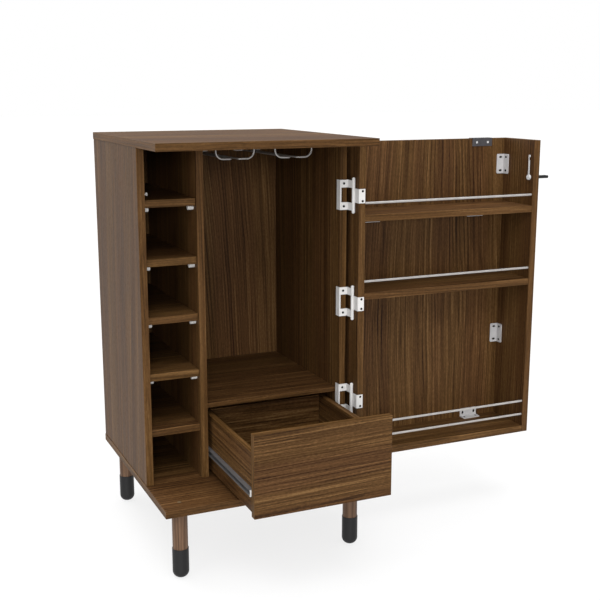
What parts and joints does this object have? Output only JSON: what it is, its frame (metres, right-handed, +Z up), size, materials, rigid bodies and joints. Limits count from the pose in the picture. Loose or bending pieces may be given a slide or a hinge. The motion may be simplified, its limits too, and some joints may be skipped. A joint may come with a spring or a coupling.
{
  "type": "bar cabinet",
  "caption": "Walnut-look bar cabinet on round legs with a bottle column, stemware racks, an inner drawer and a shelved box door on wrap-around hinges.",
  "frame": {"origin": "middle of the footprint of the open cabinet, on the floor", "axes": "+X from the cabinet towards the open door, +Y from the front to the back, +Z up"},
  "size_m": [0.9456, 0.605, 0.858],
  "materials": {
    "walnut_board": "satin walnut-look laminate",
    "leg_wood": "satin walnut-look leg",
    "dowel_wood": "bare beech",
    "foot_cap": "matt charcoal",
    "white_plastic": "white",
    "white_hinge": "white satin",
    "grey_bracket": "grey satin",
    "bright_steel": "polished",
    "zinc_steel": "zinc plated",
    "dark_steel": "dark satin",
    "black_knob": "black"
  },
  "bodies": {
    "carcass": {"top_panel": "walnut_board", "bottom_panel": "walnut_board", "left_side_panel": "walnut_board", "right_side_panel": "walnut_board", "divider_panel": "walnut_board", "back_panel": "walnut_board", "bay_shelf": "walnut_board", "bottle_shelf_1": "walnut_board", "bottle_shelf_2": "walnut_board", "bottle_shelf_3": "walnut_board", "bottle_shelf_4": "walnut_board", "bottle_shelf_5": "walnut_board", "shelf_pins": "white_plastic", "panel_dowels": "dowel_wood", "carcass_screws": "dark_steel", "latch_keeper": "white_plastic", "door_magnet": "zinc_steel", "leg_bolts": "zinc_steel", "leg_front_left": "leg_wood", "leg_front_right": "leg_wood", "leg_back_left": "leg_wood", "leg_back_right": "leg_wood", "foot_cap_front_left": "foot_cap", "foot_cap_front_right": "foot_cap", "foot_cap_back_left": "foot_cap", "foot_cap_back_right": "foot_cap", "glass_rack_left": "bright_steel", "glass_rack_right": "bright_steel", "frame_hinge_leaf_top": "white_hinge", "frame_hinge_leaf_middle": "white_hinge", "frame_hinge_leaf_bottom": "white_hinge", "slide_rail_left": "zinc_steel", "slide_rail_right": "zinc_steel"},
    "hinge_pins": {"hinge_pins": "white_hinge"},
    "door": {"door_front_panel": "walnut_board", "door_hinge_side": "walnut_board", "door_free_side": "walnut_board", "door_bottom": "walnut_board", "door_upper_shelf": "walnut_board", "door_middle_shelf": "walnut_board", "guard_rods": "bright_steel", "corner_brackets": "grey_bracket", "strike_plate": "dark_steel", "door_screws": "dark_steel", "door_hinge_leaf_top": "white_hinge", "door_hinge_leaf_middle": "white_hinge", "door_hinge_leaf_bottom": "white_hinge"},
    "latch": {"latch_knob": "black_knob", "latch_hook": "bright_steel", "latch_nut": "bright_steel"},
    "drawer": {"drawer_front": "walnut_board", "drawer_left_side": "walnut_board", "drawer_right_side": "walnut_board", "drawer_back": "walnut_board", "drawer_bottom": "walnut_board", "drawer_dowels": "dowel_wood", "slide_runner_left": "zinc_steel", "slide_runner_right": "zinc_steel"}
  },
  "joints": [
    {"name": "door_close", "type": "hinge", "parent": "carcass", "child": "hinge_pins", "pos_m": [-0.01625, -0.074, 0.5], "axis": [0, 0, 1], "range_deg": [-90, 0]},
    {"name": "door_fold_back", "type": "hinge", "parent": "hinge_pins", "child": "door", "pos_m": [-0.01625, -0.074, 0.5], "axis": [0, 0, 1], "range_deg": [-90, 0]},
    {"name": "latch_turn", "type": "hinge", "parent": "door", "child": "latch", "pos_m": [0.44025, -0.0771, 0.757], "axis": [1, 0, 0], "range_deg": [0, 94.5]},
    {"name": "drawer_slide", "type": "slide", "parent": "carcass", "child": "drawer", "axis": [0, -1, 0], "range_m": [-0.25, 0]}
  ],
  "couplings": [
    {"joint": "drawer_slide", "follows": "door_fold_back", "m_per_rad": 0.15915}
  ]
}
